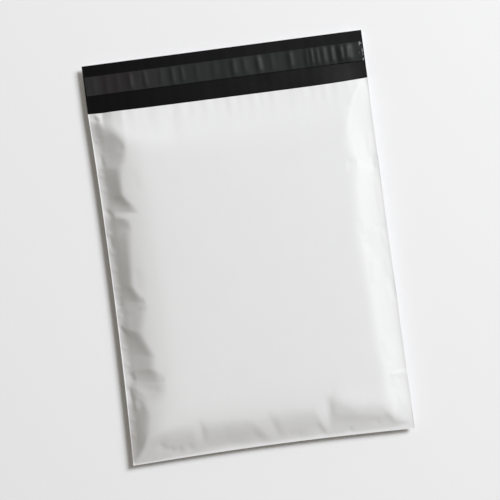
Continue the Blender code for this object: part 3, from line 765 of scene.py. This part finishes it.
class Shade:
    """A socket in a node tree. Sums and products on it add Math nodes, and node() adds any other node."""

    def __init__(self, tree, socket=None):
        self.tree = tree
        self.socket = socket

    def node(self, kind, inputs=None, output=0, **settings):
        """A new node of a kind, with its settings and the values or links of its sockets."""
        made = self.tree.nodes.new(kind)
        for name, value in settings.items():
            setattr(made, name, value)
        for key, value in (inputs or {}).items():
            if isinstance(value, Shade):
                self.tree.links.new(value.socket, made.inputs[key])
            else:
                made.inputs[key].default_value = value
        return Shade(self.tree, made.outputs[output])

    def output(self, name):
        """Another output of the node that this socket belongs to."""
        return Shade(self.tree, self.socket.node.outputs[name])

    def maths(self, operation, first, second):
        return self.node("ShaderNodeMath", {0: first, 1: second}, operation=operation)

    def __add__(self, other):
        return self.maths("ADD", self, other)

    __radd__ = __add__

    def __mul__(self, other):
        return self.maths("MULTIPLY", self, other)

    __rmul__ = __mul__

    def most(self, other):
        """The higher of this value and another."""
        return self.maths("MAXIMUM", self, other)

    def between(self, low, high):
        """0 below low, 1 above high, and a smooth rise in between."""
        inputs = {"Value": self, "From Min": low, "From Max": high}
        return self.node("ShaderNodeMapRange", inputs, interpolation_type="SMOOTHSTEP")

    def mix(self, first, second):
        """The first colour where this value is 0, and the second where it is 1."""
        inputs = {0: self, 6: first, 7: second}
        return self.node("ShaderNodeMix", inputs, output=2, data_type="RGBA")

    def noise(self, scale, detail=2.0, stretch=(1.0, 1.0, 1.0)):
        """Noise over this place, with so many waves to the metre."""
        placed = self.node("ShaderNodeMapping", {"Vector": self, "Scale": stretch})
        return self.node("ShaderNodeTexNoise", {"Vector": placed, "Scale": scale, "Detail": detail})

    def across(self):
        """How far to the right this place lies."""
        return self.node("ShaderNodeSeparateXYZ", {"Vector": self}, output="X")

    def distance(self, target):
        """How far this place lies from another."""
        return self.node("ShaderNodeVectorMath", {0: self, 1: target}, output="Value", operation="DISTANCE")

    def bump(self, distance, under=None):
        """A normal, from this value as a height."""
        inputs = {"Height": self, "Distance": distance, "Strength": 1.0}
        if under is not None:
            inputs["Normal"] = under
        return self.node("ShaderNodeBump", inputs)


def new_material(name, colour):
    """A material with its Principled shader, and a Shade of its places on the object."""
    material = bpy.data.materials.new(name)
    material.use_nodes = True
    material.diffuse_color = (*colour, 1.0)
    shader = material.node_tree.nodes["Principled BSDF"]
    place = Shade(material.node_tree).node("ShaderNodeTexCoord", output="Object")
    return material, shader, place


def opaque(colour, factor=1.0):
    """A colour with its alpha, made darker or paler by a factor."""
    return (*(factor * c for c in colour), 1.0)


def feed(shader, **inputs):
    """Sets or links the shader's sockets, named with _ for a space."""
    for name, value in inputs.items():
        socket = shader.inputs[name.replace("_", " ")]
        if isinstance(value, Shade):
            shader.id_data.links.new(value.socket, socket)
        else:
            socket.default_value = value


def white_film(colours):
    """Satin film with a faint mottle, grain and ripple, and a melted rim painted paler: partly the bead's own
    colour, partly a painted highlight where it catches the light.
    """
    material, shader, place = new_material("white_film", colours.white)
    rim = place.node("ShaderNodeAttribute", attribute_name="rim", output="Fac")
    mottle = place.noise(scale=34.0, detail=3.0)
    colour = (mottle * 0.35).mix(opaque(colours.white), opaque(colours.white, 0.93))
    # the side seams' rim painted paler: the melted bead, and a painted highlight where it catches the light
    colour = rim.between(0.25, 0.85).mix(colour, opaque(colours.rim))
    grain = place.noise(scale=900.0)
    ripple = place.noise(scale=60.0, stretch=(1.0, 0.45, 1.0))
    normal = grain.bump(0.000008, under=ripple.bump(0.00010))
    feed(shader, Base_Color=colour, Roughness=0.46 + 0.10 * grain, Normal=normal, Specular_IOR_Level=0.2)
    return material


def black_film(colours):
    """Dark film with a painted sheen that grows to the right, towards the key light, and a paler patch."""
    material, shader, place = new_material("black_film", colours.black)
    scuff = place.noise(scale=45.0, detail=4.0)
    # painted sheen: paler towards the right, where the key light falls
    painted_sheen = place.across().between(SHEEN_FROM, SHEEN_TO)
    colour = (painted_sheen * (0.4 + scuff)).mix(opaque(colours.black), opaque(colours.painted_sheen))
    # a paler patch, in the sheen's colour made paler still
    pale_patch = place.distance(PALE_PATCH_PLACE).between(PALE_PATCH_REACH, PALE_PATCH_CORE)
    colour = (pale_patch * (0.3 + scuff)).mix(colour, opaque(colours.painted_sheen, 2.2))
    grain = place.noise(scale=800.0)
    ripple = place.noise(scale=90.0, stretch=(1.0, 0.6, 1.0))
    normal = grain.bump(0.000012, under=ripple.bump(0.00022))
    feed(shader, Base_Color=colour, Roughness=0.40 + 0.12 * scuff, Normal=normal, Specular_IOR_Level=0.065)
    return material


def liner_film(colours):
    """Cloudy dark film, of another shade at its left end, and torn at its right end, which is painted pale:
    partly the torn film's own paleness, partly painted glints.
    """
    material, shader, place = new_material("liner_film", colours.liner)
    cloud = place.noise(scale=60.0, detail=3.0, stretch=(1.0, 0.3, 1.0))
    across = place.across()
    left = across.between(LINER_LEFT_FROM, LINER_LEFT_TO)
    colour = left.mix(opaque(colours.liner_left), opaque(colours.liner))
    colour = (cloud.between(0.35, 0.75) * 0.3).mix(colour, opaque(colours.liner, 3.0))
    # the torn end painted pale: partly the torn film, partly painted glints where it catches the light
    torn = across.between(LINER_HIGH.x - TORN_GLINT_REACH, LINER_HIGH.x - TORN_GLINT_CORE)
    torn = torn * place.noise(scale=420.0, detail=1.0, stretch=(1.0, 0.7, 1.0)).between(0.50, 0.60)
    colour = torn.mix(colour, opaque(colours.glint))
    ripple = place.noise(scale=160.0, stretch=(1.0, 0.25, 1.0))
    feed(shader, Base_Color=colour, Roughness=0.44 + 0.12 * cloud, Normal=ripple.bump(0.00018),
         Specular_IOR_Level=0.17)
    return material


def adhesive_film(colours):
    """Streaks of hot-melt adhesive."""
    material, shader, place = new_material("adhesive", colours.adhesive)
    streak = place.noise(scale=220.0, detail=3.0, stretch=(0.15, 1.0, 1.0))
    colour = streak.mix(opaque(colours.adhesive), opaque(colours.adhesive, 0.7))
    feed(shader, Base_Color=colour, Roughness=0.22 + 0.2 * streak, Normal=streak.bump(0.00005))
    return material


class MAILER_OT_add_bag(bpy.types.Operator):
    """Add the folded film bag, puffed out, with its gathers and creases"""

    bl_idname = "mailer.add_bag"
    bl_label = "Add Bag"

    def execute(self, context):
        sizes = context.scene.mailer_sizes
        colours = context.scene.mailer_colours
        shape = BagShape(sizes)
        mesh = bag_skin(shape, sizes)
        clean_mesh(mesh)
        add_rim_highlight_values(mesh, shape)
        bag = add_piece(mesh, (white_film(colours), black_film(colours)), "white_film", "mailer_bag")
        return {"FINISHED"}


class MAILER_OT_add_closure(bpy.types.Operator):
    """Add the adhesive strip on the flap and the release liner over it"""

    bl_idname = "mailer.add_closure"
    bl_label = "Add Adhesive and Liner"

    def execute(self, context):
        colours = context.scene.mailer_colours
        shape = BagShape(context.scene.mailer_sizes)
        liner = self.band_mesh(shape, "liner", (LINER_LOW, LINER_HIGH), LINER_STEP, LINER_FILM, LINER_CREASES)
        add_piece(liner, (liner_film(colours),), "liner_film", "release_liner")
        box = ADHESIVE_LOW, ADHESIVE_HIGH
        adhesive = self.band_mesh(shape, "adhesive", box, ADHESIVE_STEP, ADHESIVE_THICKNESS, ())
        add_piece(adhesive, (adhesive_film(colours),), "adhesive", "adhesive_strip")
        return {"FINISHED"}

    def band_mesh(self, shape, name, box, step, thickness, creases):
        """A band along the flap that fills a box's length and width, with creases across it."""
        low, high = box
        x = np.linspace(low.x, high.x, round((high.x - low.x) / step) + 1)
        base = low.z + shape.flap_wave(x - BAG_LOW.x)
        upper, lower = [], []
        for y in np.linspace(low.y, high.y, BAND_ROWS):
            inside = smooth_step(min(y - low.y, high.y - y) / BAND_EDGE)
            relief = crease_height(creases, x - BAG_LOW.x, np.full_like(x, BAG_HIGH.y - y))
            height = base + relief * blend(BAND_EDGE_SHARE, 1.0, inside)
            upper.append((x, np.full_like(x, y), height + thickness))
            lower.append((x, np.full_like(x, y), height))
        mesh = skin_mesh(name, np.array(lower + upper[::-1]).transpose(0, 2, 1))
        clean_mesh(mesh)
        return mesh


class MAILER_OT_add_stage(bpy.types.Operator):
    """Add the floor, the light and the camera"""

    bl_idname = "mailer.add_stage"
    bl_label = "Add Stage"

    def execute(self, context):
        settings = context.scene.mailer_stage
        self.add_floor(context, settings)
        self.add_key(context, settings)
        self.set_world(context, settings)
        self.add_camera(context, settings)
        context.scene.view_settings.view_transform = "Standard"
        return {"FINISHED"}

    def add_floor(self, context, settings):
        mesh = bpy.data.meshes.new("floor")
        bm = bmesh.new()
        bmesh.ops.create_grid(bm, x_segments=1, y_segments=1, size=FLOOR_SIZE)
        bm.to_mesh(mesh)
        bm.free()
        material, shader, _ = new_material("floor", settings.floor)
        feed(shader, Base_Color=opaque(settings.floor), Roughness=0.9, Specular_IOR_Level=0.1)
        mesh.materials.append(material)
        floor = bpy.data.objects.new("floor", mesh)
        floor.location.z = -FLOOR_DROP
        context.scene.collection.objects.link(floor)

    def add_key(self, context, settings):
        """One square soft light, as strong as the share that the fill leaves over.

        Its colour and the fill's add up to white on the floor.
        """
        azimuth, elevation = settings.key_azimuth, settings.key_elevation
        level = math.cos(elevation)
        towards = Vector((math.cos(azimuth) * level, math.sin(azimuth) * level, math.sin(elevation)))
        lamp = bpy.data.lights.new("key", "AREA")
        lamp.shape = "SQUARE"
        lamp.size = settings.key_width
        facing = math.pi * (1 - settings.fill) / math.sin(elevation)  # on a surface that faces the light
        colour = [(1 - settings.fill * c) / (1 - settings.fill) for c in settings.fill_colour]
        lamp.color = [c / max(colour) for c in colour]
        lamp.energy = max(colour) * facing * math.pi * settings.key_distance**2
        key = bpy.data.objects.new("key", lamp)
        key.location = towards * settings.key_distance
        key.rotation_euler = towards.to_track_quat("Z", "Y").to_euler()
        context.scene.collection.objects.link(key)

    def set_world(self, context, settings):
        """Even light from all around, and a pale background for what the camera and reflections see."""
        world = bpy.data.worlds.new("surroundings")
        world.use_nodes = True
        tree = world.node_tree
        background = tree.nodes["Background"]
        path = Shade(tree).node("ShaderNodeLightPath", output="Is Camera Ray")
        seen = path.most(path.output("Is Glossy Ray")).most(path.output("Is Transmission Ray"))
        strength = seen * (SEEN_STRENGTH - settings.fill) + settings.fill
        colour = seen.mix(opaque(settings.fill_colour), (1.0, 1.0, 1.0, 1.0))
        tree.links.new(strength.socket, background.inputs["Strength"])
        tree.links.new(colour.socket, background.inputs["Color"])
        context.scene.world = world

    def add_camera(self, context, settings):
        place, target = Vector(settings.camera_place), Vector(settings.camera_target)
        back = (place - target).normalized()
        top = Vector((math.sin(settings.camera_turn), math.cos(settings.camera_turn), 0.0))
        right = top.cross(back).normalized()
        turned = Matrix((right, back.cross(right), back)).transposed()
        lens = bpy.data.cameras.new("camera")
        lens.lens = settings.lens
        camera = bpy.data.objects.new("camera", lens)
        camera.matrix_world = Matrix.Translation(place) @ turned.to_4x4()
        context.scene.collection.objects.link(camera)
        context.scene.camera = camera


class MAILER_PT_panel(bpy.types.Panel):
    """Lists the pieces of the bag"""

    bl_idname = "MAILER_PT_panel"
    bl_label = "Poly Mailer Bag"
    bl_space_type = "VIEW_3D"
    bl_region_type = "UI"
    bl_category = "Mailer"

    def draw(self, context):
        for operator in OPERATORS:
            self.layout.operator(operator.bl_idname)
        for name in ("mailer_sizes", "mailer_colours", "mailer_stage"):
            group = getattr(context.scene, name)
            box = self.layout.box()
            for prop in group.bl_rna.properties:
                if prop.identifier not in ("name", "rna_type"):
                    box.prop(group, prop.identifier)


OPERATORS = (MAILER_OT_add_bag, MAILER_OT_add_closure, MAILER_OT_add_stage)
CLASSES = (FilmSizes, FilmColours, StageSettings, *OPERATORS, MAILER_PT_panel)


def register():
    for cls in CLASSES:
        bpy.utils.register_class(cls)
    bpy.types.Scene.mailer_sizes = bpy.props.PointerProperty(type=FilmSizes)
    bpy.types.Scene.mailer_colours = bpy.props.PointerProperty(type=FilmColours)
    bpy.types.Scene.mailer_stage = bpy.props.PointerProperty(type=StageSettings)


def unregister():
    del bpy.types.Scene.mailer_stage
    del bpy.types.Scene.mailer_colours
    del bpy.types.Scene.mailer_sizes
    for cls in reversed(CLASSES):
        bpy.utils.unregister_class(cls)


def main():
    register()
    bpy.ops.mailer.add_bag()
    bpy.ops.mailer.add_closure()
    bpy.ops.mailer.add_stage()


if __name__ == "__main__":
    main()
